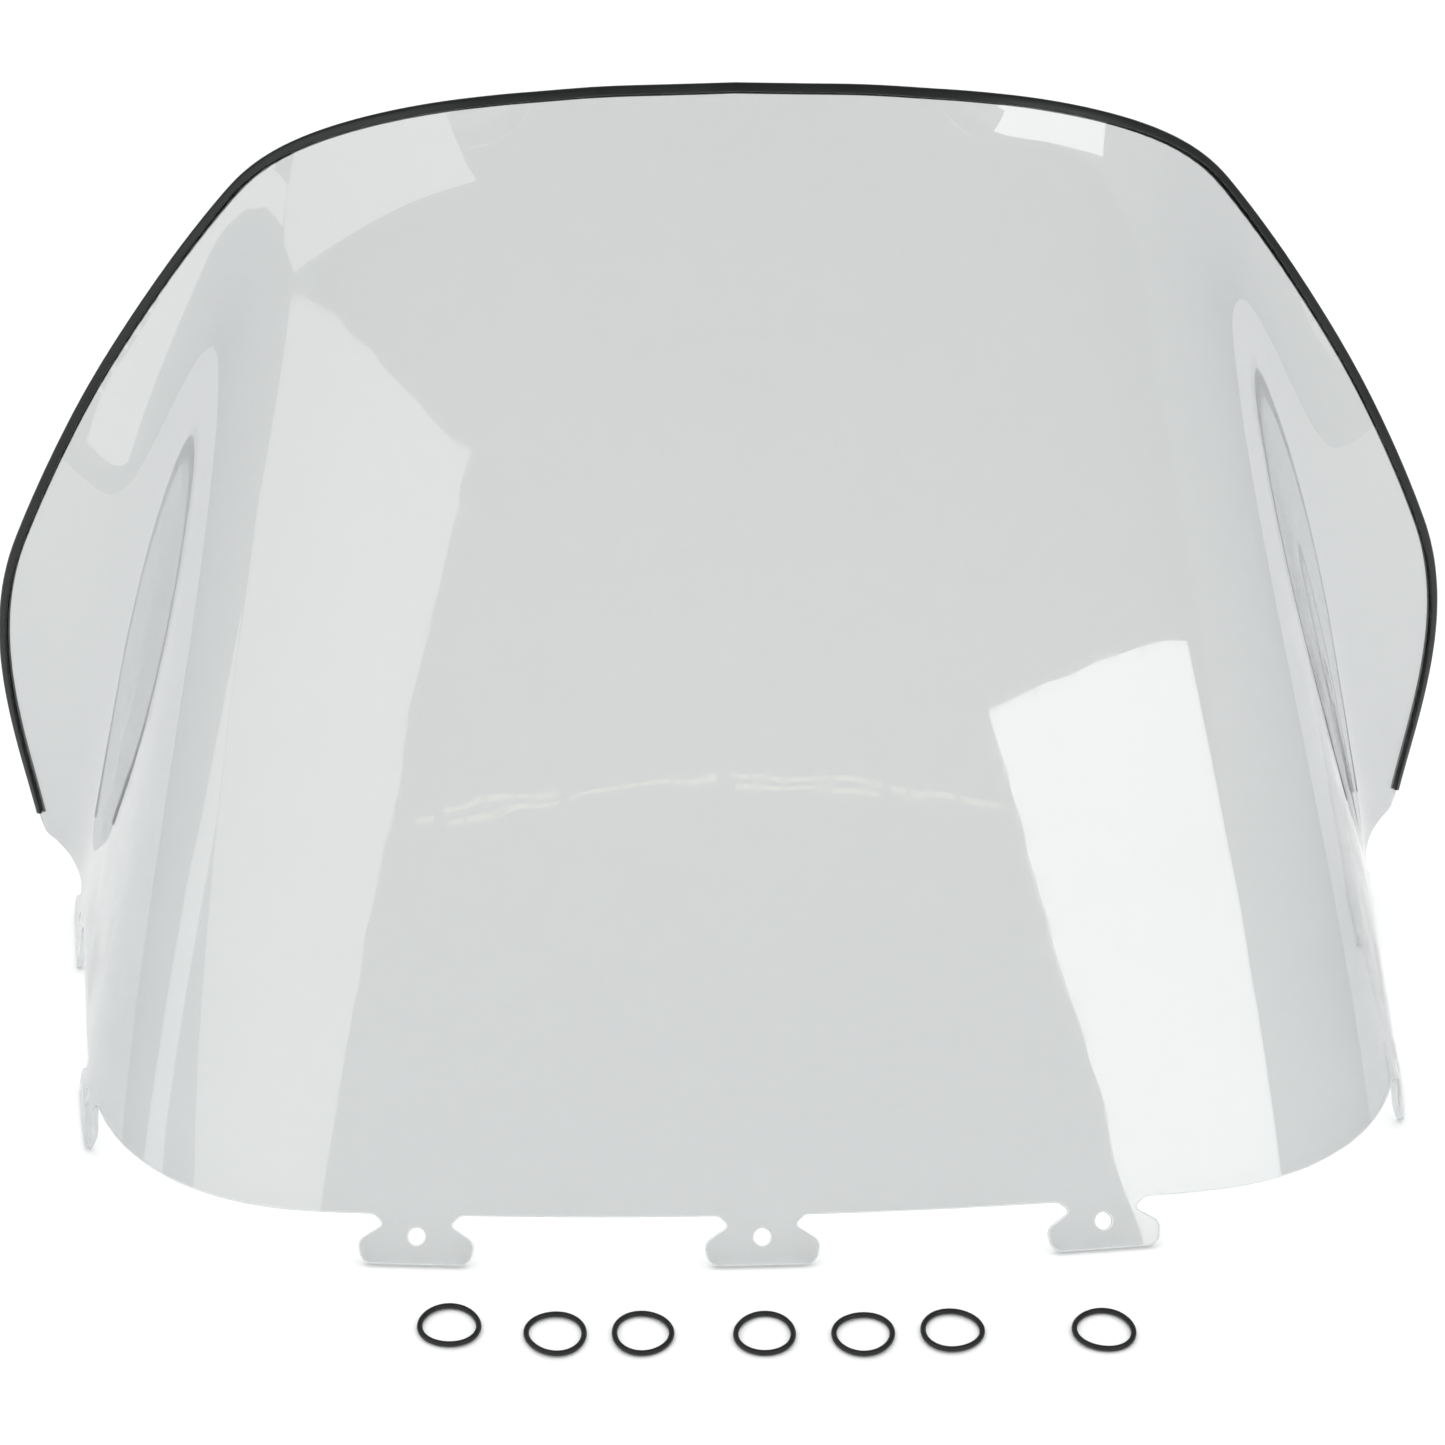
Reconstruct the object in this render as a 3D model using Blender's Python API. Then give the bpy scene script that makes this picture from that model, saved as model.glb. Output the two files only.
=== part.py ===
"""Windshield screen: a formed clear sheet with a push-on edge trim and seven fixing rings.

Metres, +Z up. The screen stands on the tips of its tabs at z = 0 and faces -Y. The sheet is a
stack of level sections. Each section runs from the middle of the front, round the corner, along
the side and out into the wing, and is drawn by the direction that it takes at each arc length.
"""
import math

import bmesh
import bpy
import numpy as np
from mathutils import Vector

# Sheet
SHEET_THICKNESS = 0.003
RAKE = math.radians(50.5)            # slope of the front panel above the horizontal
FRONT_Y = -0.1311                    # front of the lower edge, in the middle
LOWER_EDGE_FRONT = 0.0175            # height of the lower edge between the front tabs
LOWER_EDGE_SIDE = 0.0215             # height of the lower edge along the sides
LOWER_EDGE_RISE = (0.180, 0.320)     # arc lengths between which it rises from one to the other
FORM_HEIGHT = 0.430                  # height over which the section's shape develops

# Direction of a section, from the front's middle round to the wing
FRONT_BOW_RADIUS = 2.0               # gentle bow of the front panel
FRONT_BOW_LENGTH = 0.400
CORNER_START = (0.173, -0.101, 1.6)  # each: value at the base, change up the sheet, power
CORNER_END = (0.386, -0.154, 1.1)
CORNER_TURN = (math.radians(73), math.radians(-49), 3.0)
VALLEY_START = (0.200, 0.300, 1.6)   # value at the top, change down the sheet, power
VALLEY_LENGTH = (0.090, 0.022)       # at both ends, and what is added at mid height
VALLEY_TURN = (math.radians(27), math.radians(18), math.radians(34))  # base, top, mid height

# Upper outline: (arc length, height, corner radius), from the middle to the trim's end
UPPER_OUTLINE = (
    (0.0000, 0.4085, 0.0),
    (0.1770, 0.4049, 0.250),
    (0.3258, 0.2910, 1.700),
    (0.5097, 0.1202, 0.415),
    (0.5535, 0.0270, 0.0),
)

# Lip: the sheet flares forward along its edge round the two top corners
LIP_RISE = 0.0080
LIP_WIDTH = 0.045                    # measured down from the edge
LIP_FADE_IN = (0.040, 0.130)         # arc lengths between which the lip grows
LIP_FADE_OUT = (0.270, 0.400)

# Tabs: T-shaped, drawn in (across, down) from the lower edge
TAB_PLACES = (0.0, 0.150, 0.343, 0.483)      # arc lengths, on both sides
TAB_ROOT_HALF = 0.019
TAB_NECK = (0.0146, 0.0042, 0.0016)          # across, down, corner radius
TAB_EAR_TOP = (0.0256, 0.0115, 0.0050)
TAB_EAR_END_HALF = 0.0236
TAB_EAR_END_RADIUS = 0.0055
TAB_HOLE_DOWN = 0.0092
TAB_HOLE_DIAMETER = 0.0074
TAB_HOLE_SIDES = 16

# Mesh density
ROWS = 16
COLUMN_BANDS = ((0.019, 2), (0.131, 4), (0.169, 4), (0.324, 16), (0.362, 4),
                (0.464, 6), (0.502, 4), (0.5535, 7))     # end of each band, columns in it
FILLET_STEPS = 4
OUTLINE_FILLET_STEPS = 12
SECTION_STEP = 0.001

# Edge trim: a U-channel pushed on the sheet's edge
TRIM_GRIP = 0.0032                   # depth of the channel over the sheet
TRIM_BACK = 0.0015                   # back of the channel beyond the sheet's edge
TRIM_WALL = 0.0010
TRIM_CHAMFER = 0.0008
FIT_GAP = 0.0003
TRIM_END_SETBACK = 0.0015

# Fixing rings, loose on the ground in front
RING_OUTER_DIAMETER = 0.0272
RING_WIRE = 0.0024
RING_POINTS = 24
RING_OVAL = 0.02                     # how far out of round each ring is
RING_PLACES = ((-0.136, -0.1796), (-0.091, -0.1866), (-0.054, -0.1876), (-0.002, -0.1896),
               (0.040, -0.1916), (0.078, -0.1906), (0.143, -0.1926))


def clear_objects():
    for item in list(bpy.data.objects):
        bpy.data.objects.remove(item, do_unlink=True)


def make_material(name, colour, roughness, alpha=1.0, transmission=0.0):
    material = bpy.data.materials.new(name)
    material.use_nodes = True
    shader = material.node_tree.nodes["Principled BSDF"]
    shader.inputs["Base Color"].default_value = (*colour, 1.0)
    shader.inputs["Roughness"].default_value = roughness
    shader.inputs["Metallic"].default_value = 0.0
    shader.inputs["Alpha"].default_value = alpha
    shader.inputs["Transmission Weight"].default_value = transmission
    return material


def link_object(name, data, material):
    item = bpy.data.objects.new(name, data)
    bpy.context.collection.objects.link(item)
    data.materials.append(material)
    return item


# ---------------------------------------------------------------- the formed surface

def smooth_step(value):
    value = np.clip(value, 0.0, 1.0)
    return value ** 3 * (value * (6 * value - 15) + 10)


def develop(start, height):
    """A value that changes up the sheet from its base value."""
    base, change, power = start
    return base + change * max(height / FORM_HEIGHT, 0.0) ** power


def section_direction(arc, height):
    """Plan direction of a level section, 0 across the front and 90 degrees along a side."""
    level = min(max(height / FORM_HEIGHT, 0.0), 1.0)
    corner_start = develop(CORNER_START, height)
    corner_end = develop(CORNER_END, height)
    top, down, power = VALLEY_START
    valley_start = top + down * (1 - level) ** power
    valley_length = VALLEY_LENGTH[0] + VALLEY_LENGTH[1] * math.sin(math.pi * level)
    base_turn, top_turn, mid_turn = VALLEY_TURN
    valley_turn = base_turn * (1 - level) + top_turn * level + 4 * mid_turn * level * (1 - level)
    bow = np.minimum(arc, FRONT_BOW_LENGTH) / FRONT_BOW_RADIUS
    corner = smooth_step((arc - corner_start) / (corner_end - corner_start))
    valley = smooth_step((arc - valley_start) / valley_length)
    return bow + develop(CORNER_TURN, height) * corner - valley_turn * valley


def fade(value, limits):
    start, end = limits
    return float(smooth_step((value - start) / (end - start)))


def lip_flare(arc, height):
    """How far the lip pushes the sheet outward, level."""
    below = max((upper_edge(arc) - height) / LIP_WIDTH, 0.0)
    strength = fade(arc, LIP_FADE_IN) * (1 - fade(arc, LIP_FADE_OUT))
    return LIP_RISE * strength * max(1 - below, 0.0) ** 2


def surface_point(arc, height):
    """Middle of the sheet at a signed arc length from the centre line and a height."""
    length = abs(arc)
    steps = max(int(length / SECTION_STEP), 1)
    middles = (np.arange(steps) + 0.5) * length / steps
    direction = section_direction(middles, height)
    across = float(np.sum(np.cos(direction))) * length / steps
    back = float(np.sum(np.sin(direction))) * length / steps
    front = FRONT_Y + (height - LOWER_EDGE_FRONT) / math.tan(RAKE)
    facing = float(section_direction(length, height))
    flare = lip_flare(length, height)
    across += flare * math.sin(facing)
    back -= flare * math.cos(facing)
    return Vector((math.copysign(across, arc), front + back, height))


def surface_normal(arc, height):
    """Unit normal of the sheet, pointing to the outer face."""
    step = SECTION_STEP
    along = surface_point(arc + step, height) - surface_point(arc - step, height)
    upward = surface_point(arc, height + step) - surface_point(arc, height - step)
    return along.cross(upward).normalized()


# ---------------------------------------------------------------- outlines

def rounded_path(corners, fillet_steps=FILLET_STEPS):
    """Points along straight runs joined by arcs; each corner is (across, up, radius)."""
    path = []
    for index, (across, up, radius) in enumerate(corners):
        here = Vector((across, up))
        if radius == 0.0 or index in (0, len(corners) - 1):
            path.append(here)
            continue
        before = (Vector(corners[index - 1][:2]) - here).normalized()
        after = (Vector(corners[index + 1][:2]) - here).normalized()
        half_angle = before.angle(after) / 2
        tangent = radius / math.tan(half_angle)
        centre = here + (before + after).normalized() * radius / math.sin(half_angle)
        start = here + before * tangent - centre
        sweep = start.angle_signed(here + after * tangent - centre)
        for step in range(fillet_steps + 1):
            turn = -sweep * step / fillet_steps
            cosine, sine = math.cos(turn), math.sin(turn)
            path.append(centre + Vector((start.x * cosine - start.y * sine,
                                         start.x * sine + start.y * cosine)))
    return path


UPPER_ARCS, UPPER_HEIGHTS = zip(*rounded_path(UPPER_OUTLINE, OUTLINE_FILLET_STEPS))


def upper_edge(arc):
    return float(np.interp(abs(arc), UPPER_ARCS, UPPER_HEIGHTS))


def lower_edge(arc):
    rise = LOWER_EDGE_SIDE - LOWER_EDGE_FRONT
    return LOWER_EDGE_FRONT + rise * fade(abs(arc), LOWER_EDGE_RISE)


def column_arcs():
    """Arc lengths of the columns from one wing's end to the other's."""
    half = [0.0]
    for band_end, count in COLUMN_BANDS:
        band_start = half[-1]
        half += [band_start + (band_end - band_start) * (step + 1) / count for step in range(count)]
    return [-arc for arc in reversed(half[1:])] + half


def tab_outline(length):
    """Half of a tab from its root round the ear to the middle of its end, as (across, down)."""
    corners = ((TAB_ROOT_HALF, 0.0, 0.0), TAB_NECK, TAB_EAR_TOP,
               (TAB_EAR_END_HALF, length, TAB_EAR_END_RADIUS), (0.0, length, 0.0))
    return rounded_path(corners)


# ---------------------------------------------------------------- the windscreen

def tab_frame(arc):
    """Origin, across and down directions of the plane that a tab lies in."""
    height = lower_edge(arc)
    origin = surface_point(arc, height)
    across = surface_point(arc + TAB_ROOT_HALF, height) - surface_point(arc - TAB_ROOT_HALF, height)
    across.normalize()
    normal = surface_normal(arc, height)
    normal = (normal - across * normal.dot(across)).normalized()
    down = normal.cross(across).normalized()
    if down.z > 0:
        down = -down
    return origin, across, down, normal


def build_windscreen(material):
    shell = bmesh.new()
    arcs = column_arcs()
    grid = []
    for arc in arcs:
        low, high = lower_edge(arc), upper_edge(arc)
        heights = [low + (high - low) * row / ROWS for row in range(ROWS + 1)]
        grid.append([shell.verts.new(surface_point(arc, height)) for height in heights])
    for left, right in zip(grid, grid[1:]):
        for row in range(ROWS):
            shell.faces.new((left[row], right[row], right[row + 1], left[row + 1]))

    places = sorted({side * place for place in TAB_PLACES for side in (-1, 1)})
    for place in places:
        origin, across, down, normal = tab_frame(place)
        roots = [column[0] for arc, column in zip(arcs, grid)
                 if abs(arc - place) < TAB_ROOT_HALF + SECTION_STEP / 10]
        for vertex in roots:
            vertex.co -= normal * (vertex.co - origin).dot(normal)
        sag = SHEET_THICKNESS / 2 * abs(normal.z)
        length = (origin.z - sag) / abs(down.z)
        half = tab_outline(length)[1:]
        right = [shell.verts.new(origin + across * point.x + down * point.y) for point in half]
        left = [shell.verts.new(origin - across * point.x + down * point.y)
                for point in half[-2::-1]]
        loop = roots + right + left
        edges = []
        for start, end in zip(loop, loop[1:] + loop[:1]):
            edge = shell.edges.get((start, end)) or shell.edges.new((start, end))
            edges.append(edge)
        centre = origin + down * TAB_HOLE_DOWN
        hole = []
        for step in range(TAB_HOLE_SIDES):
            turn = 2 * math.pi * (step + 0.5) / TAB_HOLE_SIDES
            spoke = across * math.cos(turn) + down * math.sin(turn)
            hole.append(shell.verts.new(centre + spoke * TAB_HOLE_DIAMETER / 2))
        edges += [shell.edges.new(pair) for pair in zip(hole, hole[1:] + hole[:1])]
        bmesh.ops.triangle_fill(shell, use_beauty=True, use_dissolve=False, edges=edges)
    bmesh.ops.recalc_face_normals(shell, faces=shell.faces)
    shell.faces.ensure_lookup_table()
    if shell.faces[0].normal.dot(surface_normal(arcs[0], lower_edge(arcs[0]))) < 0:
        bmesh.ops.reverse_faces(shell, faces=shell.faces)

    data = bpy.data.meshes.new("windscreen")
    shell.to_mesh(data)
    shell.free()
    data.shade_smooth()
    item = link_object("windscreen", data, material)
    thick = item.modifiers.new("thickness", "SOLIDIFY")
    thick.thickness = SHEET_THICKNESS
    thick.offset = 0.0
    thick.use_even_offset = True
    return item


# ---------------------------------------------------------------- the edge trim

def trim_profile():
    """Closed U section as (outward, across the thickness), open towards the sheet."""
    slot = SHEET_THICKNESS / 2 + FIT_GAP
    side = slot + TRIM_WALL
    soft = TRIM_CHAMFER
    half = [(-TRIM_GRIP, slot), (-TRIM_GRIP, side - soft / 2), (-TRIM_GRIP + soft, side),
            (TRIM_BACK - 2 * soft, side), (TRIM_BACK - soft / 2, side - soft), (TRIM_BACK, 0.0)]
    mirrored = [(outward, -across) for outward, across in reversed(half[:-1])]
    inner = [(FIT_GAP, -slot), (FIT_GAP, slot)]
    return half + mirrored + inner


def trim_path():
    """Edge points of the sheet with their outward direction and normal."""
    arcs = column_arcs()
    arcs[0] += TRIM_END_SETBACK
    arcs[-1] -= TRIM_END_SETBACK
    points = [surface_point(arc, upper_edge(arc)) for arc in arcs]
    frames = []
    for index, (arc, point) in enumerate(zip(arcs, points)):
        before = points[max(index - 1, 0)]
        after = points[min(index + 1, len(points) - 1)]
        normal = surface_normal(arc, upper_edge(arc))
        outward = normal.cross(after - before).normalized()
        frames.append((point, outward, normal))
    return frames


def build_trim(material):
    strip = bmesh.new()
    profile = trim_profile()
    rings = []
    for point, outward, normal in trim_path():
        rings.append([strip.verts.new(point + outward * out + normal * across)
                      for out, across in profile])
    count = len(profile)
    for near, far in zip(rings, rings[1:]):
        for index in range(count):
            follow = (index + 1) % count
            strip.faces.new((near[index], far[index], far[follow], near[follow]))
    strip.faces.new(rings[0])
    strip.faces.new(reversed(rings[-1]))
    bmesh.ops.recalc_face_normals(strip, faces=strip.faces)
    data = bpy.data.meshes.new("edge_trim")
    strip.to_mesh(data)
    strip.free()
    data.shade_smooth()
    data.set_sharp_from_angle(angle=math.radians(50))
    return link_object("edge_trim", data, material)


# ---------------------------------------------------------------- the fixing rings

def build_ring(number, place, material):
    """A rubber ring lying flat, slightly out of round."""
    curve = bpy.data.curves.new(f"oring_{number}", "CURVE")
    curve.dimensions = "3D"
    curve.bevel_depth = RING_WIRE / 2
    curve.bevel_resolution = 2
    spline = curve.splines.new("POLY")
    spline.points.add(RING_POINTS - 1)
    spline.use_cyclic_u = True
    radius = (RING_OUTER_DIAMETER - RING_WIRE) / 2
    for index, point in enumerate(spline.points):
        turn = 2 * math.pi * index / RING_POINTS
        stretch = 1 + RING_OVAL * math.cos(2 * turn + number)
        point.co = (radius * stretch * math.cos(turn), radius * stretch * math.sin(turn), 0.0, 1.0)
    item = link_object(f"oring_{number}", curve, material)
    item.location = (*place, RING_WIRE / 2)
    return item


def main():
    clear_objects()
    clear_sheet = make_material("clear_polycarbonate", (0.80, 0.82, 0.81), 0.05, 0.3, 0.9)
    black_trim = make_material("black_trim", (0.012, 0.013, 0.012), 0.45)
    black_rubber = make_material("black_rubber", (0.018, 0.018, 0.018), 0.6)
    build_windscreen(clear_sheet)
    build_trim(black_trim)
    for number, place in enumerate(RING_PLACES, start=1):
        build_ring(number, place, black_rubber)


main()
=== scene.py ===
"""Looks of a clear windshield screen, its edge trim and its fixing rings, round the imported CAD."""
import math

import bpy
import numpy as np
from mathutils import Matrix, Vector
from mathutils.geometry import delaunay_2d_cdt
from mathutils.kdtree import KDTree


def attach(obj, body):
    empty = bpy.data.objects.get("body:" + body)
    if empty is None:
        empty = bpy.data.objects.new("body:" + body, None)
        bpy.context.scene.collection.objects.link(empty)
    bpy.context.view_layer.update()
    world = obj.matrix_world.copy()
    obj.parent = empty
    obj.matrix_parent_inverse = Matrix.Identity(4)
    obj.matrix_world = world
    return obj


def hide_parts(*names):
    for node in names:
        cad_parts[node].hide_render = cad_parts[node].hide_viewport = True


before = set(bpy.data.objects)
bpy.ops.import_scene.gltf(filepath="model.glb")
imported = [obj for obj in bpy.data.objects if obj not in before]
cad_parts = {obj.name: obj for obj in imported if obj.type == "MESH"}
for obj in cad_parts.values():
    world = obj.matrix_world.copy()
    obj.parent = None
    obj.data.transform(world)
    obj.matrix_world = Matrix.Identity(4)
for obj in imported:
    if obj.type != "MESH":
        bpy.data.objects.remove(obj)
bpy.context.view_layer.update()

# ---------------------------------------------------------------- the object's dimensions, in metres

# Formed sheet
SHEET_THICKNESS = 0.003
RAKE = math.radians(50.5)            # slope of the front panel above the horizontal
FRONT_Y = -0.1311                    # front of the lower edge, in the middle
LOWER_EDGE_FRONT = 0.0175
LOWER_EDGE_SIDE = 0.0215
LOWER_EDGE_RISE = (0.180, 0.320)     # arc lengths between which the lower edge rises
FORM_HEIGHT = 0.430

# Direction of a level section, from the front's middle round to the wing
FRONT_BOW_RADIUS = 2.0
FRONT_BOW_LENGTH = 0.400
CORNER_START = (0.173, -0.101, 1.6)  # each: value at the base, change up the sheet, power
CORNER_END = (0.386, -0.154, 1.1)
CORNER_TURN = (math.radians(73), math.radians(-49), 3.0)
VALLEY_START = (0.200, 0.300, 1.6)   # value at the top, change down the sheet, power
VALLEY_LENGTH = (0.090, 0.022)       # at both ends, and what is added at mid height
# Turn of the valley at the base, at the top, and what is added at mid height
VALLEY_TURN = (math.radians(27), math.radians(18), math.radians(34))

# Upper outline: (arc length, height, corner radius), from the middle to the trim's end
UPPER_OUTLINE = (
    (0.0000, 0.4085, 0.0),
    (0.1770, 0.4049, 0.250),
    (0.3258, 0.2910, 1.700),
    (0.5097, 0.1202, 0.415),
    (0.5535, 0.0270, 0.0),
)
LIP_RISE = 0.0080                    # how far the lip stands out at the upper edge
LIP_WIDTH = 0.045                    # height over which it dies away below that edge
LIP_FADE_IN = (0.040, 0.130)         # arc lengths between which it sets in
LIP_FADE_OUT = (0.270, 0.400)        # and between which it ends

# Tabs: corners are (across, down, corner radius) from the lower edge
TAB_PLACES = (0.0, 0.150, 0.343, 0.483)  # arc lengths from the middle, on one half
TAB_ROOT = (0.0190, 0.0, 0.0040)
TAB_ROOT_LEAD = 0.007                # straight run of lower edge before a tab's root
TAB_NECK = (0.0146, 0.0042, 0.0016)
TAB_EAR_TOP = (0.0256, 0.0115, 0.0050)
TAB_EAR_END_HALF = 0.0236
TAB_EAR_END_RADIUS = 0.0055
TAB_HOLE_DOWN = 0.0092
TAB_HOLE_DIAMETER = 0.0074
WING_END_RADIUS = 0.002

# Trim channel
TRIM_GRIP = 0.0032                   # depth over the sheet's edge
TRIM_BACK = 0.0015                   # how far the channel's back stands past that edge
TRIM_HALF_WIDTH = 0.0028
TRIM_SLOT_HALF = 0.00165             # half the width of the slot the sheet's edge sits in
TRIM_BACK_ROUND = 0.0020
TRIM_LIP_ROUND = 0.00045
TRIM_END_SETBACK = 0.0015
TRIM_STEP = 0.0025                   # between sections along the sheet's edge
FIT_GAP = 0.0003                     # between the sheet's edge and the channel's bottom

# Fixing rings
RING_OUTER_DIAMETER = 0.0272
RING_WIRE = 0.0024
RING_OVAL = 0.02                     # share of the radius by which a ring is oval
RING_WANDER = 0.020                  # share of the radius by which it is three-sided
RING_WANDER_PHASE = 2.1              # change of phase from one ring to the next, in radians
RING_LIFT = 0.0003                   # how far its raised parts are lifted
RING_LIFT_PHASE = 1.7                # change of phase from one ring to the next, in radians
RING_PLACES = ((-0.136, -0.1796), (-0.091, -0.1866), (-0.054, -0.1876), (-0.002, -0.1896),
               (0.040, -0.1916), (0.078, -0.1906), (0.143, -0.1926))

# Clear sheet's material
CLEAR_TINT = (0.635, 0.645, 0.643)   # seen square on
CLEAR_TINT_ASLANT = (0.500, 0.512, 0.520)
ASLANT = 0.75                        # how far aslant, from 0 to 1, the second tint is reached
CLEAR_SHADOW = (0.95, 0.955, 0.955)  # what a shadow ray keeps at each face
CLEAR_IOR = 1.585
CLEAR_ROUGHNESS = (0.008, 0.05)      # clean, and where it has been wiped
BROAD_WAVES = (9.0, 0.035)           # each: noise scale, strength
SHORT_WAVES = (30.0, 0.012)
WAVE_DETAIL = 1.0
WAVE_DEPTH = 0.004
WIPE_NOISE = (220.0, 2.0, 0.6)       # noise scale, detail, roughness
WIPE_STRETCH = (1.0, 1.0, 0.05)      # drawn out up and down
WIPE_RANGE = (0.45, 0.75)            # part of the noise that shows as wipes

# Routed edges' material
EDGE_TINT = (0.82, 0.84, 0.84)
EDGE_TRANSMISSION = 0.5
EDGE_ROUGHNESS = (0.30, 0.55)
EDGE_NOISE = 700.0

# Rubber: each grain is a noise scale and a depth
TRIM_DARK = (0.004, 0.005, 0.0045)
TRIM_LIGHT = (0.009, 0.013, 0.012)
TRIM_ROUGHNESS = 0.38
TRIM_GRAIN = (900.0, 0.00004)
RING_DARK = (0.005, 0.005, 0.005)
RING_LIGHT = (0.012, 0.012, 0.012)
RING_ROUGHNESS = 0.45
RING_GRAIN = (1400.0, 0.00005)
GRAIN_STRENGTH = 0.35
HANDLED_NOISE = (45.0, 4.0, 0.6)     # noise scale, detail, roughness of the paler patches
HANDLED_FROM = 0.35                  # noise values at which the colour starts and stops changing
HANDLED_TO = 0.80
HANDLED_SPREAD = (-0.06, 0.08)       # what the patches add to the roughness
NOISE_MIDDLE = (0.3, 0.7)            # range that most of a noise lies in

# Stage
FLOOR_COLOUR = (0.93, 0.93, 0.93)
FLOOR_SPECULAR = 0.1
FLOOR_ROUGHNESS = 0.9
FLOOR_LEVEL = -0.0002
FLOOR_RADIUS = 12.0
FLOOR_SIDES = 96
BACKDROP_HEIGHT = 9.0
BACKDROP_COLOUR = (1.0, 1.0, 1.0)
BACKDROP_RADIANCE = 1.0
WORLD_COLOUR = (0.97, 0.99, 1.0)
WORLD_STRENGTH = 0.35
OVERHEAD_STRENGTH = 2.6
OVERHEAD_SPREAD = math.radians(120)

# Planes the bright panels lie in: which way from the screen (degrees towards +X from the front,
# and up), how far, and from what point
LEFT_PLANE = (-45.0, 38.0, 1.6, (-0.18, 0.0, 0.17))
RIGHT_PLANE = (33.0, 40.0, 1.6, (0.18, -0.03, 0.12))
CEILING_PLANE = (4.0, 45.5, 3.0, (0.0, -0.05, 0.20))
# Softboxes: name, plane, corners across and up in it, brightness
SOFTBOXES = (
    ("softbox_left", LEFT_PLANE,
     ((-1.28, 0.15), (0.66, 0.68), (0.82, -0.60), (-0.12, -0.60), (-0.25, -0.42), (-1.05, -0.15),
      (-1.33, -0.02)), 1.55),
    ("softbox_left_spill", LEFT_PLANE,
     ((-1.22, -0.10), (-0.85, -0.23), (-0.85, -0.60), (-0.40, -0.95), (-0.40, -1.15), (-1.36, -1.15),
      (-1.36, -0.45), (-1.27, -0.35)), 1.7),
    ("softbox_right", RIGHT_PLANE,
     ((-0.365, 0.294), (0.476, 0.141), (0.22, -0.60), (-0.34, -0.60)), 3.3),
)
SOFTBOX_COLOUR = (1.0, 1.0, 1.0)
# Ceiling tubes: both ends of each, across and up in their plane
TUBES = (
    ((-0.730, 0.020), (-0.690, 0.020)),
    ((-0.670, 0.028), (-0.400, 0.033)),
    ((-0.660, 0.012), (-0.400, 0.020)),
    ((-0.380, 0.022), (-0.040, 0.021)),
    ((-0.010, 0.023), (0.330, -0.003)),
    ((0.000, 0.009), (0.320, -0.017)),
    ((0.350, -0.010), (0.610, -0.042)),
)
TUBE_WIDTH = 0.006
TUBE_COLOUR = (1.0, 0.97, 0.70)
TUBE_RADIANCE = 1.5

# Camera
CAMERA_TARGET = (0.0, -0.0346, 0.0)
CAMERA_ELEVATION = math.radians(32.3)
CAMERA_YAW = math.radians(3.6)
CAMERA_ROLL = math.radians(-1.0)
CAMERA_ASIDE = -0.0148
CAMERA_UP = 0.1780
CAMERA_DISTANCE = 1.8182
CAMERA_LENS = 98.7                   # in millimetres, as is the sensor
CAMERA_SENSOR = 36.0

# Mesh density
RING_SEGMENTS = 96
RING_WIRE_SIDES = 18
SECTION_STEPS = 240                  # steps in which a section is summed up
GRID_ACROSS = 0.0050
GRID_UP = 0.0038
OUTLINE_STEP = 0.0022
EDGE_CLEARANCE = 0.8                 # outline steps between inner points and edge points
CDT_WHOLE_HULL = 0                   # the triangulation's output type: all of the hull
CDT_TOLERANCE = 1e-7
TAB_FILLET_STEPS = 7
OUTLINE_FILLET_STEPS = 40
HOLE_SIDES = 44
EDGE_ROUND = 0.0005                  # rounding of the sheet's routed edges
EDGE_STEPS = 3
TRIM_LIP_STEPS = 3
TRIM_BACK_STEPS = 8
TRIM_SHARP_ANGLE = math.radians(40)
DIFFERENCE = 0.0008                  # step used to find the surface's slope


# ---------------------------------------------------------------- the formed surface

def smooth_step(value):
    """Eases from 0 to 1 with no sudden change of slope or bend."""
    value = np.clip(value, 0.0, 1.0)
    return value ** 3 * (value * (6 * value - 15) + 10)


def fade(value, limits):
    """0 up to the first limit, 1 from the second on."""
    start, end = limits
    return smooth_step((value - start) / (end - start))


def develop(terms, height):
    """A value that changes up the sheet from its base value."""
    base, change, power = terms
    return base + change * np.maximum(height / FORM_HEIGHT, 0.0) ** power


def section_direction(arc, height):
    """Plan direction of a level section, 0 across the front and 90 degrees along a side."""
    level = np.clip(height / FORM_HEIGHT, 0.0, 1.0)
    corner_start = develop(CORNER_START, height)
    corner_end = develop(CORNER_END, height)
    top, down, power = VALLEY_START
    valley_start = top + down * (1 - level) ** power
    valley_length = VALLEY_LENGTH[0] + VALLEY_LENGTH[1] * np.sin(np.pi * level)
    base_turn, top_turn, mid_turn = VALLEY_TURN
    valley_turn = base_turn * (1 - level) + top_turn * level + 4 * mid_turn * level * (1 - level)
    bow = np.minimum(arc, FRONT_BOW_LENGTH) / FRONT_BOW_RADIUS
    corner = smooth_step((arc - corner_start) / (corner_end - corner_start))
    valley = smooth_step((arc - valley_start) / valley_length)
    return bow + develop(CORNER_TURN, height) * corner - valley_turn * valley


def lip_flare(arc, height):
    """How far the lip along the upper edge stands out from the plain surface."""
    below = np.maximum((upper_edge(arc) - height) / LIP_WIDTH, 0.0)
    strength = fade(arc, LIP_FADE_IN) * (1 - fade(arc, LIP_FADE_OUT))
    return LIP_RISE * strength * np.maximum(1 - below, 0.0) ** 2


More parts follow.
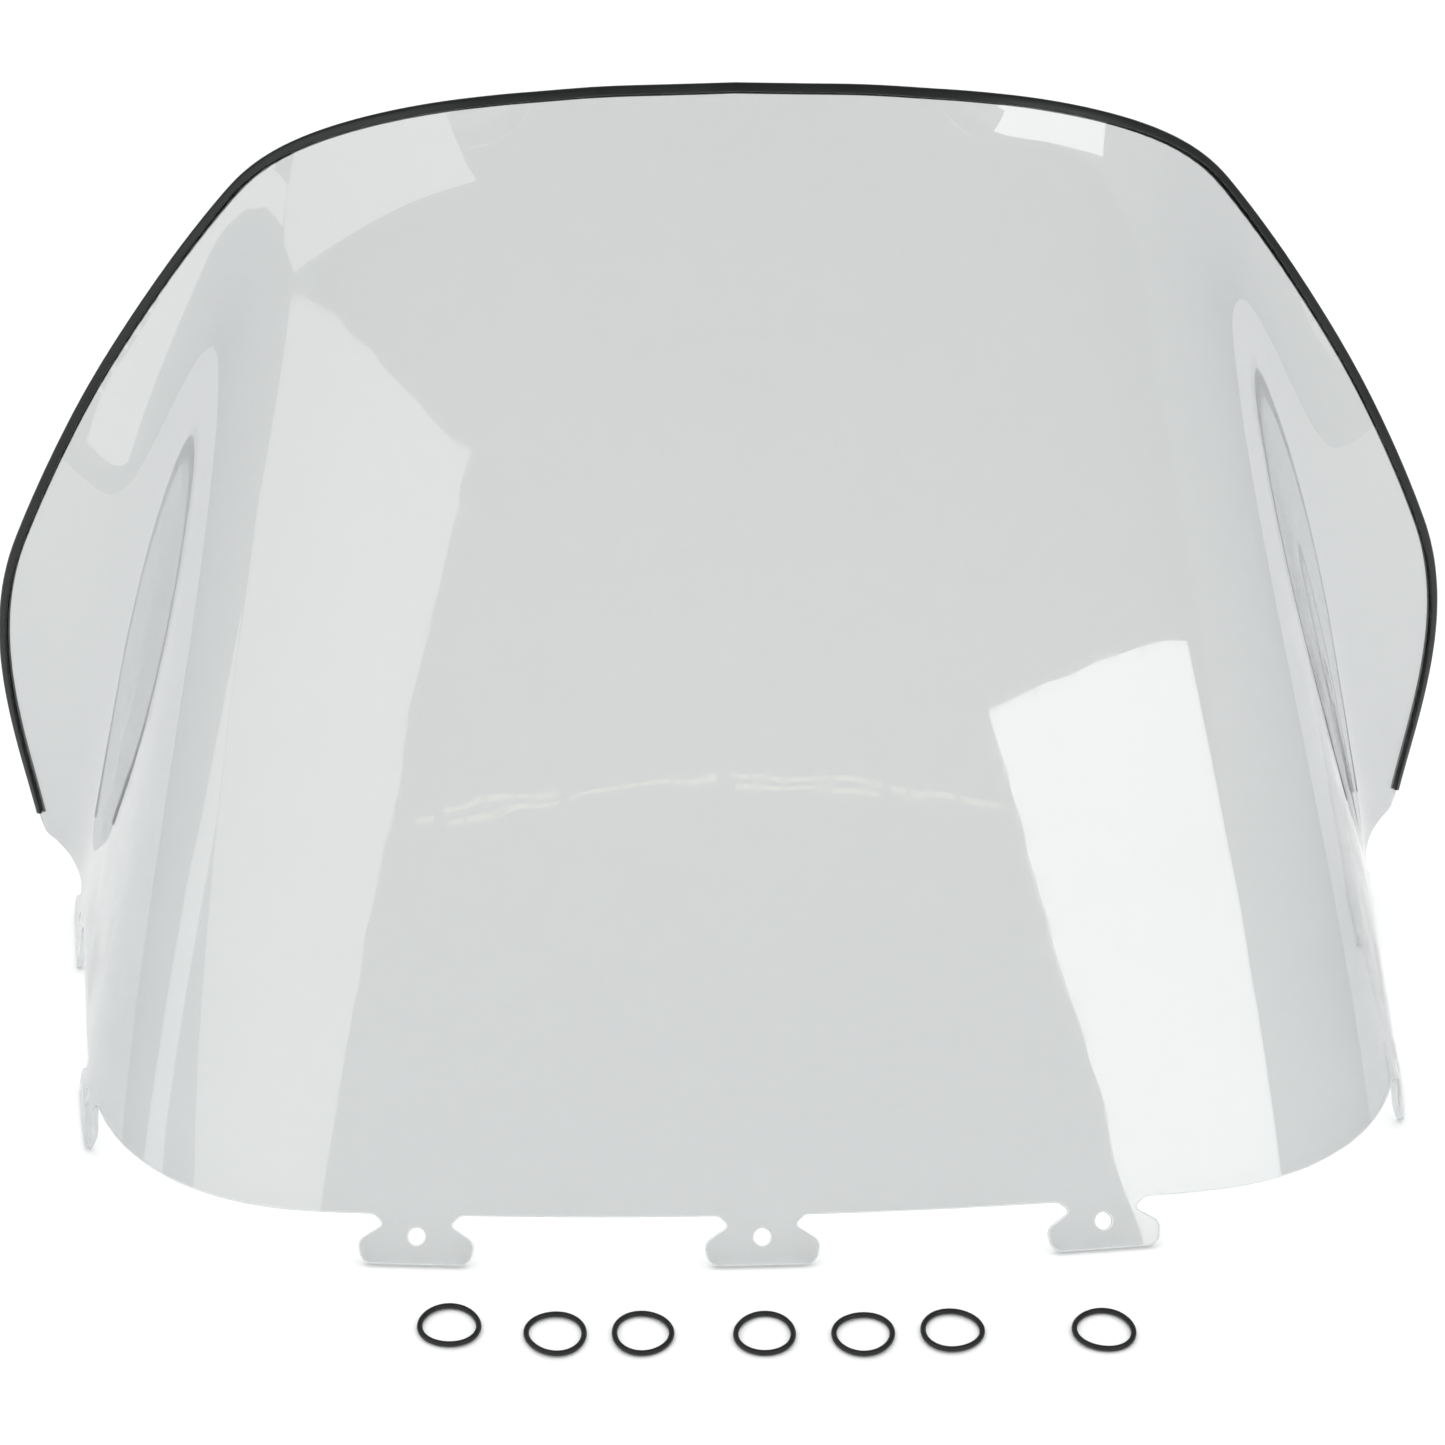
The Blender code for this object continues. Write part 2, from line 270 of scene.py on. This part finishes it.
def surface_points(arcs, heights):
    """Middle of the sheet at signed arc lengths from the centre line and heights."""
    length = np.abs(arcs)
    shares = (np.arange(SECTION_STEPS) + 0.5) / SECTION_STEPS
    direction = section_direction(length[:, None] * shares, heights[:, None])
    across = np.cos(direction).mean(axis=1) * length
    back = np.sin(direction).mean(axis=1) * length
    facing = section_direction(length, heights)
    flare = lip_flare(length, heights)
    across += flare * np.sin(facing)
    back -= flare * np.cos(facing)
    front = FRONT_Y + (heights - LOWER_EDGE_FRONT) / math.tan(RAKE)
    return np.stack([np.copysign(across, arcs), front + back, heights], axis=1)


def unit(vectors):
    return vectors / np.linalg.norm(vectors, axis=-1, keepdims=True)


def surface_normals(arcs, heights):
    """Unit normals of the sheet, pointing to the outer face."""
    along = surface_points(arcs + DIFFERENCE, heights) - surface_points(arcs - DIFFERENCE, heights)
    upward = surface_points(arcs, heights + DIFFERENCE) - surface_points(arcs, heights - DIFFERENCE)
    return unit(np.cross(along, upward))


# ---------------------------------------------------------------- outlines in (arc length, height)

def rounded_path(corners, fillet_steps):
    """Points along straight runs joined by arcs; each corner is (across, up, radius)."""
    path = []
    for index, (across, up, radius) in enumerate(corners):
        here = Vector((across, up))
        if radius == 0.0 or index in (0, len(corners) - 1):
            path.append(here)
            continue
        before = (Vector(corners[index - 1][:2]) - here).normalized()
        after = (Vector(corners[index + 1][:2]) - here).normalized()
        half_angle = before.angle(after) / 2
        tangent = radius / math.tan(half_angle)
        centre = here + (before + after).normalized() * radius / math.sin(half_angle)
        start = here + before * tangent - centre
        sweep = start.angle_signed(here + after * tangent - centre)
        for step in range(fillet_steps + 1):
            turn = -sweep * step / fillet_steps
            cosine, sine = math.cos(turn), math.sin(turn)
            path.append(centre + Vector((start.x * cosine - start.y * sine,
                                         start.x * sine + start.y * cosine)))
    return np.array([tuple(point) for point in path])


UPPER_PATH = rounded_path(UPPER_OUTLINE, OUTLINE_FILLET_STEPS)


def upper_edge(arc):
    return np.interp(np.abs(arc), UPPER_PATH[:, 0], UPPER_PATH[:, 1])


def lower_edge(arc):
    return LOWER_EDGE_FRONT + (LOWER_EDGE_SIDE - LOWER_EDGE_FRONT) * fade(np.abs(arc), LOWER_EDGE_RISE)


def subdivided(path, step):
    """The same path with no run longer than step."""
    points = [path[0]]
    for start, end in zip(path, path[1:]):
        count = max(int(math.ceil(np.linalg.norm(end - start) / step)), 1)
        points += [start + (end - start) * (index + 1) / count for index in range(count)]
    return np.array(points)


def tab_frame(place):
    """Lower edge's height, drop and shear for each unit down a tab, and the tab's length."""
    arc, height = np.array([place]), np.array([float(lower_edge(place))])
    origin = surface_points(arc, height)[0]
    left_root = surface_points(arc - TAB_ROOT[0], height)
    right_root = surface_points(arc + TAB_ROOT[0], height)
    across = unit(right_root - left_root)[0]
    normal = surface_normals(arc, height)[0]
    normal = unit(normal - across * normal.dot(across))
    down = np.cross(normal, across)
    down = down if down[2] < 0 else -down
    upward = surface_points(arc, height + DIFFERENCE) - surface_points(arc, height - DIFFERENCE)
    shear = -down[2] * (upward[0] / (2 * DIFFERENCE)).dot(across)
    length = (origin[2] - SHEET_THICKNESS / 2 * abs(normal[2])) / abs(down[2])
    return float(height[0]), float(down[2]), float(shear), length


def on_tab(place, points):
    """Points of a tab's plane, as (across, down), in (arc length, height)."""
    height, drop, shear, _ = tab_frame(place)
    points = np.asarray(points, float)
    return np.stack([place + points[:, 0] + shear * points[:, 1], height + drop * points[:, 1]], axis=1)


def tab_path(place):
    """A tab's outline from its left root round its end to its right root."""
    length = tab_frame(place)[3]
    corners = ((TAB_ROOT[0] + TAB_ROOT_LEAD, 0.0, 0.0), TAB_ROOT, TAB_NECK, TAB_EAR_TOP,
               (TAB_EAR_END_HALF, length, TAB_EAR_END_RADIUS), (0.0, length, 0.0))
    right = rounded_path(corners, TAB_FILLET_STEPS)[::-1]
    left = (right * (-1, 1))[::-1]
    return on_tab(place, np.concatenate([left[:-1], right]))


def lower_half_path():
    """Lower edge from the middle tab's centre to the wing's end, with the tabs in it."""
    runs = []
    for place in TAB_PLACES:
        path = tab_path(place)
        if place == 0.0:
            path = path[len(path) // 2:]
        runs.append(path)
    joined = [runs[0]]
    for before, after in zip(runs, runs[1:]):
        arcs = np.arange(before[-1, 0] + OUTLINE_STEP, after[0, 0] - OUTLINE_STEP / 2, OUTLINE_STEP)
        joined += [np.stack([arcs, lower_edge(arcs)], axis=1), after]
    end_arc = UPPER_OUTLINE[-1][0]
    arcs = np.arange(runs[-1][-1, 0] + OUTLINE_STEP, end_arc - 2 * WING_END_RADIUS, OUTLINE_STEP)
    joined.append(np.stack([arcs, lower_edge(arcs)], axis=1))
    return np.concatenate(joined)


def sheet_outline():
    """Closed outline of the sheet, starting at the middle of the lower edge."""
    lower = lower_half_path()
    end_arc, end_height, _ = UPPER_OUTLINE[-1]
    corners = ((lower[-1, 0], lower[-1, 1], 0.0),
               (end_arc, LOWER_EDGE_SIDE, WING_END_RADIUS),
               (end_arc, end_height, 0.0))
    end = rounded_path(corners, TAB_FILLET_STEPS)[1:]
    half = np.concatenate([lower, end, UPPER_PATH[::-1][1:]])
    mirrored = (half * (-1, 1))[::-1]
    closed = np.concatenate([half, mirrored[1:]])
    return subdivided(closed, OUTLINE_STEP)[:-1]


def hole_outlines():
    """Outline of every tab's hole, from the left wing to the right one."""
    outlines = []
    turns = np.arange(HOLE_SIDES) * 2 * np.pi / HOLE_SIDES
    circle = np.stack([np.cos(turns), np.sin(turns)], axis=1) * TAB_HOLE_DIAMETER / 2
    for place in sorted({side * place for place in TAB_PLACES for side in (-1, 1)}):
        points = on_tab(abs(place), circle + (0.0, TAB_HOLE_DOWN))
        outlines.append(points if place >= 0 else points * (-1, 1))
    return outlines


def inside(points, outline):
    """True for each point that lies inside a closed outline."""
    result = np.zeros(len(points), bool)
    x, y = points[:, 0], points[:, 1]
    for (x0, y0), (x1, y1) in zip(outline, np.roll(outline, -1, axis=0)):
        if y0 == y1:
            continue
        crosses = (y0 > y) != (y1 > y)
        result ^= crosses & (x < x0 + (y - y0) * (x1 - x0) / (y1 - y0))
    return result


def fill_grid(outline, holes):
    """Even points inside the outline, clear of all the edges."""
    low, high = outline.min(axis=0), outline.max(axis=0)
    rows = np.arange(low[1], high[1], GRID_UP)
    points = []
    for index, height in enumerate(rows):
        shift = GRID_ACROSS / 2 if index % 2 else 0.0
        half = np.arange(shift, high[0], GRID_ACROSS)
        arcs = np.unique(np.concatenate([-half[::-1], half]))
        points.append(np.stack([arcs, np.full(len(arcs), height)], axis=1))
    points = np.concatenate(points)
    points = points[inside(points, outline)]
    for hole in holes:
        points = points[~inside(points, hole)]
    edges = np.concatenate([outline, *holes])
    tree = KDTree(len(edges))
    for index, (arc, height) in enumerate(edges):
        tree.insert((arc, height, 0.0), index)
    tree.balance()
    clearance = OUTLINE_STEP * EDGE_CLEARANCE
    keep = [tree.find((arc, height, 0.0))[2] > clearance for arc, height in points]
    return points[np.array(keep)]


def fill_triangles(outline, holes):
    """Points and triangles that fill the outline round the holes."""
    loops, points = [], []
    for loop in [outline, *holes]:
        loops.append(list(range(len(points), len(points) + len(loop))))
        points += [tuple(point) for point in loop]
    edges = [pair for loop in loops for pair in zip(loop, loop[1:] + loop[:1])]
    points += [tuple(point) for point in fill_grid(outline, holes)]
    vectors = [Vector(point) for point in points]
    found = delaunay_2d_cdt(vectors, edges, [], CDT_WHOLE_HULL, CDT_TOLERANCE)
    places = np.array([tuple(point) for point in found[0]])
    triangles = np.array([tuple(face) for face in found[2]])
    middles = places[triangles].mean(axis=1)
    keep = inside(middles, outline)
    for hole in holes:
        keep &= ~inside(middles, hole)
    return places, triangles[keep]


# ---------------------------------------------------------------- pieces

def mesh_piece(name, points, faces, normals=None):
    data = bpy.data.meshes.new(name)
    data.from_pydata([tuple(point) for point in points], [], [tuple(face) for face in faces])
    data.validate()
    data.shade_smooth()
    if normals is not None:
        data.normals_split_custom_set_from_vertices([tuple(normal) for normal in normals])
    piece = bpy.data.objects.new(name, data)
    bpy.context.scene.collection.objects.link(piece)
    return piece


def band_faces(row_count, sides, closed):
    """Four-sided faces between rows of points, each row a closed loop of its own."""
    faces = []
    for row in range(row_count if closed else row_count - 1):
        near, far = row * sides, (row + 1) % row_count * sides
        for index in range(sides):
            follow = (index + 1) % sides
            faces.append((near + index, near + follow, far + follow, far + index))
    return faces


def edge_loops(triangles):
    """Loops of vertex indices round the outside and the holes, the sheet on their left."""
    sides = np.concatenate([triangles[:, (0, 1)], triangles[:, (1, 2)], triangles[:, (2, 0)]])
    known = {tuple(side) for side in sides}
    follow = {start: end for start, end in known if (end, start) not in known}
    loops = []
    while follow:
        start, here = follow.popitem()
        loop = [start]
        while here != start:
            loop.append(here)
            here = follow.pop(here)
        loops.append(loop)
    return loops


def build_sheet():
    """The formed sheet with softly rounded, routed edges and hole rims."""
    flat, triangles = fill_triangles(sheet_outline(), hole_outlines())
    corners = flat[triangles]
    winding = np.cross(corners[:, 1] - corners[:, 0], corners[:, 2] - corners[:, 0])
    triangles[winding < 0] = triangles[winding < 0][:, ::-1]
    middle = surface_points(flat[:, 0], flat[:, 1])
    normal = surface_normals(flat[:, 0], flat[:, 1])
    loops = edge_loops(triangles)
    outward = np.zeros_like(middle)
    for loop in loops:
        here = middle[loop]
        along = np.roll(here, -1, axis=0) - np.roll(here, 1, axis=0)
        outward[loop] = unit(np.cross(along, normal[loop]))
    inset = middle - outward * EDGE_ROUND
    half = SHEET_THICKNESS / 2
    count = len(middle)
    points = [inset + normal * half, inset - normal * half]
    normals = [normal, -normal]
    faces = [tuple(face) for face in triangles]
    faces += [tuple(count + index for index in reversed(face)) for face in triangles]
    quarter = math.pi / 2 / EDGE_STEPS
    rim = [(math.pi / 2 - quarter * step, 1) for step in range(1, EDGE_STEPS + 1)]
    rim += [(-turn, -side) for turn, side in reversed(rim)]
    free_index = 2 * count
    for loop in loops:
        rows = [list(loop)]
        here, face_normal, out = middle[loop], normal[loop], outward[loop]
        for turn, side in rim:
            level = side * (half - EDGE_ROUND) + EDGE_ROUND * math.sin(turn)
            points.append(here + out * EDGE_ROUND * (math.cos(turn) - 1) + face_normal * level)
            normals.append(out * math.cos(turn) + face_normal * math.sin(turn))
            rows.append(list(range(free_index, free_index + len(loop))))
            free_index += len(loop)
        rows.append([count + index for index in loop])
        for upper, lower in zip(rows, rows[1:]):
            faces += [(upper[index], upper[index - 1], lower[index - 1], lower[index])
                      for index in range(len(loop))]
    sheet = mesh_piece("clear_sheet", np.concatenate(points), faces, np.concatenate(normals))
    sheet.data.materials.append(clear_material())
    sheet.data.materials.append(edge_material())
    edge_slot = len(sheet.data.materials) - 1
    skin_faces = 2 * len(triangles)
    for polygon in sheet.data.polygons[skin_faces:]:
        polygon.material_index = edge_slot
    return sheet


def round_corner(centre, radius, start, end, steps):
    """Points round part of a circle; start and end are in degrees."""
    turns = np.radians(np.linspace(start, end, steps + 1))
    return [(centre[0] + radius * math.cos(turn), centre[1] + radius * math.sin(turn))
            for turn in turns]


def trim_profile():
    """Closed U section as (outward, across the thickness), open towards the sheet."""
    lip = TRIM_LIP_ROUND
    lip_centre = (-TRIM_GRIP + lip, TRIM_HALF_WIDTH - lip)
    back_centre = (TRIM_BACK - TRIM_BACK_ROUND, TRIM_HALF_WIDTH - TRIM_BACK_ROUND)
    half = [(-TRIM_GRIP, TRIM_SLOT_HALF)]
    half += round_corner(lip_centre, lip, 180, 90, TRIM_LIP_STEPS)
    half += round_corner(back_centre, TRIM_BACK_ROUND, 90, 0, TRIM_BACK_STEPS)
    mirrored = [(outward, -across) for outward, across in reversed(half)]
    inner = [(FIT_GAP, -TRIM_SLOT_HALF), (FIT_GAP, TRIM_SLOT_HALF)]
    return np.array(half + mirrored + inner)


def trim_frames():
    """Points on the sheet's edge from one trim end to the other, with outward and normal directions."""
    end_arc = UPPER_OUTLINE[-1][0] - TRIM_END_SETBACK
    half = UPPER_PATH[UPPER_PATH[:, 0] < end_arc]
    half = np.concatenate([half, [(end_arc, float(upper_edge(end_arc)))]])
    path = subdivided(np.concatenate([(half * (-1, 1))[::-1], half[1:]]), TRIM_STEP)
    edge = surface_points(path[:, 0], path[:, 1])
    normal = surface_normals(path[:, 0], path[:, 1])
    outward = unit(np.cross(normal, np.gradient(edge, axis=0)))
    return edge, outward, normal


def build_trim():
    """The push-on edge strip, a soft channel with a rounded back."""
    edge, outward, normal = trim_frames()
    profile = trim_profile()
    out, across = profile[:, 0], profile[:, 1]
    rows = (edge[:, None] + outward[:, None] * out[None, :, None]
            + normal[:, None] * across[None, :, None])
    count = len(profile)
    faces = band_faces(len(edge), count, closed=False)
    last = (len(edge) - 1) * count
    faces.append(tuple(reversed(range(count))))
    faces.append(tuple(range(last, last + count)))
    trim = mesh_piece("rubber_edge_trim", rows.reshape(-1, 3), faces)
    trim.data.set_sharp_from_angle(angle=TRIM_SHARP_ANGLE)
    return trim


def build_ring(number, place):
    """A rubber ring lying flat, as slightly out of true as a soft moulded ring is."""
    radius = (RING_OUTER_DIAMETER - RING_WIRE) / 2
    turns = np.arange(RING_SEGMENTS) * 2 * np.pi / RING_SEGMENTS
    stretch = 1 + RING_OVAL * np.cos(2 * turns + number)
    stretch = stretch + RING_WANDER * np.cos(3 * turns + RING_WANDER_PHASE * number)
    lift = RING_LIFT * (1 + np.cos(2 * turns + RING_LIFT_PHASE * number)) / 2
    level = RING_WIRE / 2 + lift
    middle = np.stack([place[0] + radius * stretch * np.cos(turns),
                       place[1] + radius * stretch * np.sin(turns), level], axis=1)
    along = unit(np.roll(middle, -1, axis=0) - np.roll(middle, 1, axis=0))
    side = unit(np.cross(along, (0.0, 0.0, 1.0)))
    above = np.cross(side, along)
    rolls = np.arange(RING_WIRE_SIDES) * 2 * np.pi / RING_WIRE_SIDES
    rows = (middle[:, None] + side[:, None] * np.cos(rolls)[None, :, None] * RING_WIRE / 2
            + above[:, None] * np.sin(rolls)[None, :, None] * RING_WIRE / 2)
    faces = band_faces(RING_SEGMENTS, RING_WIRE_SIDES, closed=True)
    return mesh_piece(f"fixing_ring_{number}", rows.reshape(-1, 3), faces)


# ---------------------------------------------------------------- materials

def new_material(name):
    material = bpy.data.materials.new(name)
    material.use_nodes = True
    tree = material.node_tree
    return material, tree, tree.nodes["Principled BSDF"]


def add_node(tree, kind, **inputs):
    """A new node with its inputs set; an underscore stands for a space in an input's name."""
    node = tree.nodes.new(kind)
    for name, value in inputs.items():
        node.inputs[name.replace("_", " ")].default_value = value
    return node


def noise(tree, scale, detail=3.0, roughness=0.5, stretch=(1.0, 1.0, 1.0)):
    """Noise fixed to the piece; scale is how many to a metre."""
    place = tree.nodes.new("ShaderNodeTexCoord")
    mapping = add_node(tree, "ShaderNodeMapping", Scale=stretch)
    texture = add_node(tree, "ShaderNodeTexNoise", Scale=scale, Detail=detail, Roughness=roughness)
    tree.links.new(place.outputs["Object"], mapping.inputs["Vector"])
    tree.links.new(mapping.outputs["Vector"], texture.inputs["Vector"])
    return texture.outputs["Fac"]


def remap(tree, source, old_range, new_range):
    node = add_node(tree, "ShaderNodeMapRange", From_Min=old_range[0], From_Max=old_range[1],
                    To_Min=new_range[0], To_Max=new_range[1])
    tree.links.new(source, node.inputs["Value"])
    return node.outputs["Result"]


def bump(tree, height, strength, distance, before=None):
    node = add_node(tree, "ShaderNodeBump", Strength=strength, Distance=distance)
    tree.links.new(height, node.inputs["Height"])
    if before is not None:
        tree.links.new(before, node.inputs["Normal"])
    return node.outputs["Normal"]


def clear_material():
    """Clear, faintly grey formed polycarbonate: faint waves from forming and fine wipe marks."""
    material, tree, shader = new_material("clear_polycarbonate")
    tint = tree.nodes.new("ShaderNodeValToRGB")
    tint.color_ramp.elements[0].color = (*CLEAR_TINT, 1.0)
    tint.color_ramp.elements[1].position = ASLANT
    tint.color_ramp.elements[1].color = (*CLEAR_TINT_ASLANT, 1.0)
    slant = tree.nodes.new("ShaderNodeLayerWeight")
    tree.links.new(slant.outputs["Facing"], tint.inputs["Fac"])
    tree.links.new(tint.outputs["Color"], shader.inputs["Base Color"])
    shader.inputs["IOR"].default_value = CLEAR_IOR
    shader.inputs["Transmission Weight"].default_value = 1.0
    wipes = noise(tree, *WIPE_NOISE, stretch=WIPE_STRETCH)
    tree.links.new(remap(tree, wipes, WIPE_RANGE, CLEAR_ROUGHNESS), shader.inputs["Roughness"])
    scale, strength = BROAD_WAVES
    broad = bump(tree, noise(tree, scale, WAVE_DETAIL), strength, WAVE_DEPTH)
    scale, strength = SHORT_WAVES
    short = bump(tree, noise(tree, scale, WAVE_DETAIL), strength, WAVE_DEPTH, broad)
    tree.links.new(short, shader.inputs["Normal"])
    open_path = tree.nodes.new("ShaderNodeBsdfTransparent")
    open_path.inputs["Color"].default_value = (*CLEAR_SHADOW, 1.0)
    rays = tree.nodes.new("ShaderNodeLightPath")
    mix = tree.nodes.new("ShaderNodeMixShader")
    output = tree.nodes["Material Output"]
    tree.links.new(rays.outputs["Is Shadow Ray"], mix.inputs["Fac"])
    tree.links.new(shader.outputs["BSDF"], mix.inputs[1])
    tree.links.new(open_path.outputs["BSDF"], mix.inputs[2])
    tree.links.new(mix.outputs["Shader"], output.inputs["Surface"])
    return material


def edge_material():
    """The sheet's routed edges: the same plastic with a satin cut surface."""
    material, tree, shader = new_material("routed_edge")
    shader.inputs["Base Color"].default_value = (*EDGE_TINT, 1.0)
    shader.inputs["IOR"].default_value = CLEAR_IOR
    shader.inputs["Transmission Weight"].default_value = EDGE_TRANSMISSION
    satin = remap(tree, noise(tree, EDGE_NOISE), NOISE_MIDDLE, EDGE_ROUGHNESS)
    tree.links.new(satin, shader.inputs["Roughness"])
    return material


def rubber_material(name, dark, light, roughness, grain):
    """Black rubber: a fine grain, and paler, duller patches where it has been handled."""
    material, tree, shader = new_material(name)
    ramp = tree.nodes.new("ShaderNodeValToRGB")
    ramp.color_ramp.elements[0].position = HANDLED_FROM
    ramp.color_ramp.elements[0].color = (*dark, 1.0)
    ramp.color_ramp.elements[1].position = HANDLED_TO
    ramp.color_ramp.elements[1].color = (*light, 1.0)
    handled = noise(tree, *HANDLED_NOISE)
    tree.links.new(handled, ramp.inputs["Fac"])
    tree.links.new(ramp.outputs["Color"], shader.inputs["Base Color"])
    spread = (roughness + HANDLED_SPREAD[0], roughness + HANDLED_SPREAD[1])
    tree.links.new(remap(tree, handled, NOISE_MIDDLE, spread), shader.inputs["Roughness"])
    scale, depth = grain
    tree.links.new(bump(tree, noise(tree, scale), GRAIN_STRENGTH, depth), shader.inputs["Normal"])
    return material


def floor_material():
    material, _, shader = new_material("pale_floor")
    shader.inputs["Base Color"].default_value = (*FLOOR_COLOUR, 1.0)
    shader.inputs["Specular IOR Level"].default_value = FLOOR_SPECULAR
    shader.inputs["Roughness"].default_value = FLOOR_ROUGHNESS
    return material


def glowing_material(name, colour, radiance):
    """A surface that only gives out light, for panels, lamps and the backdrop."""
    material, _, shader = new_material(name)
    shader.inputs["Base Color"].default_value = (0.0, 0.0, 0.0, 1.0)
    shader.inputs["Specular IOR Level"].default_value = 0.0
    shader.inputs["Emission Color"].default_value = (*colour, 1.0)
    shader.inputs["Emission Strength"].default_value = radiance
    return material


# ---------------------------------------------------------------- stage, lights and camera

def floor_rim(level):
    """Points round the floor's rim at one height."""
    turns = np.arange(FLOOR_SIDES) * 2 * np.pi / FLOOR_SIDES
    return np.stack([np.cos(turns) * FLOOR_RADIUS, np.sin(turns) * FLOOR_RADIUS,
                     np.full(FLOOR_SIDES, level)], axis=1)


def build_floor():
    floor = mesh_piece("floor", floor_rim(FLOOR_LEVEL), [tuple(range(FLOOR_SIDES))])
    floor.data.materials.append(floor_material())


def build_backdrop():
    """A pale wall round the floor's rim, seen past the screen but not in its reflections."""
    points = np.concatenate([floor_rim(FLOOR_LEVEL), floor_rim(BACKDROP_HEIGHT)])
    faces = []
    for index in range(FLOOR_SIDES):
        follow = (index + 1) % FLOOR_SIDES
        faces.append((follow, index, FLOOR_SIDES + index, FLOOR_SIDES + follow))
    backdrop = mesh_piece("backdrop", points, faces)
    glow = glowing_material("pale_backdrop", BACKDROP_COLOUR, BACKDROP_RADIANCE)
    backdrop.data.materials.append(glow)
    backdrop.visible_glossy = False
    backdrop.visible_diffuse = False
    backdrop.visible_shadow = False


def build_world():
    world = bpy.data.worlds.new("studio")
    world.use_nodes = True
    background = world.node_tree.nodes["Background"]
    background.inputs["Color"].default_value = (*WORLD_COLOUR, 1.0)
    background.inputs["Strength"].default_value = WORLD_STRENGTH
    bpy.context.scene.world = world


def build_overhead():
    """Very soft light from above that whitens the floor and leaves no reflection of its own."""
    data = bpy.data.lights.new("overhead", "SUN")
    data.energy = OVERHEAD_STRENGTH
    data.angle = OVERHEAD_SPREAD
    data.cycles.use_multiple_importance_sampling = False
    overhead = bpy.data.objects.new("overhead", data)
    overhead.visible_glossy = False
    overhead.visible_transmission = False
    bpy.context.scene.collection.objects.link(overhead)


def build_panel(name, plane, corners, material):
    """A bright flat panel, seen in reflections and not by the camera."""
    bearing, rise, distance, centre = plane
    bearing, rise = math.radians(bearing), math.radians(rise)
    towards = np.array((math.sin(bearing) * math.cos(rise), -math.cos(bearing) * math.cos(rise),
                        math.sin(rise)))
    side = np.array((math.cos(bearing), math.sin(bearing), 0.0))
    above = np.cross(towards, side)
    above *= math.copysign(1.0, above[2])
    middle = np.array(centre) + towards * distance
    points = [middle + side * across + above * up for across, up in corners]
    panel = mesh_piece(name, points, [tuple(range(len(points)))])
    panel.data.materials.append(material)
    panel.visible_camera = False
    panel.visible_diffuse = False
    panel.visible_shadow = False


def build_lights():
    """The softboxes and tubes that the sheet mirrors, and the light from above."""
    for name, plane, corners, radiance in SOFTBOXES:
        build_panel(name, plane, corners, glowing_material(name, SOFTBOX_COLOUR, radiance))
    tube_glow = glowing_material("ceiling_tubes", TUBE_COLOUR, TUBE_RADIANCE)
    half = TUBE_WIDTH / 2
    for number, (start, end) in enumerate(TUBES, start=1):
        corners = ((start[0], start[1] + half), (end[0], end[1] + half),
                   (end[0], end[1] - half), (start[0], start[1] - half))
        build_panel(f"ceiling_tube_{number}", CEILING_PLANE, corners, tube_glow)
    build_overhead()


def build_camera():
    """The camera stands in front of the screen, above it, and a little to one side."""
    yaw, elevation, roll = CAMERA_YAW, CAMERA_ELEVATION, CAMERA_ROLL
    right = Vector((math.cos(yaw), -math.sin(yaw), 0.0))
    up = Vector((math.sin(yaw) * math.sin(elevation), math.cos(yaw) * math.sin(elevation),
                 math.cos(elevation)))
    forward = Vector((math.sin(yaw) * math.cos(elevation), math.cos(yaw) * math.cos(elevation),
                      -math.sin(elevation)))
    location = Vector(CAMERA_TARGET) + right * CAMERA_ASIDE + up * CAMERA_UP - forward * CAMERA_DISTANCE
    rolled_right = right * math.cos(roll) - up * math.sin(roll)
    rolled_up = right * math.sin(roll) + up * math.cos(roll)
    turn = Matrix((rolled_right, rolled_up, -forward)).transposed().to_4x4()
    data = bpy.data.cameras.new("camera")
    data.sensor_width = CAMERA_SENSOR
    data.lens = CAMERA_LENS
    camera = bpy.data.objects.new("camera", data)
    camera.matrix_world = Matrix.Translation(location) @ turn
    bpy.context.scene.collection.objects.link(camera)
    bpy.context.scene.camera = camera


# ---------------------------------------------------------------- the scene

def main():
    sheet = build_sheet()
    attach(sheet, "screen")
    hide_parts("windscreen")

    trim = build_trim()
    trim_rubber = rubber_material("black_trim", TRIM_DARK, TRIM_LIGHT, TRIM_ROUGHNESS, TRIM_GRAIN)
    trim.data.materials.append(trim_rubber)
    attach(trim, "screen")
    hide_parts("edge_trim")

    ring_rubber = rubber_material("black_rubber", RING_DARK, RING_LIGHT, RING_ROUGHNESS, RING_GRAIN)
    for number, place in enumerate(RING_PLACES, start=1):
        ring = build_ring(number, place)
        ring.data.materials.append(ring_rubber)
        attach(ring, f"ring_{number}")
        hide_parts(f"oring_{number}")

    build_floor()
    build_backdrop()
    build_world()
    build_lights()
    build_camera()
    bpy.context.scene.view_settings.view_transform = "Standard"


main()
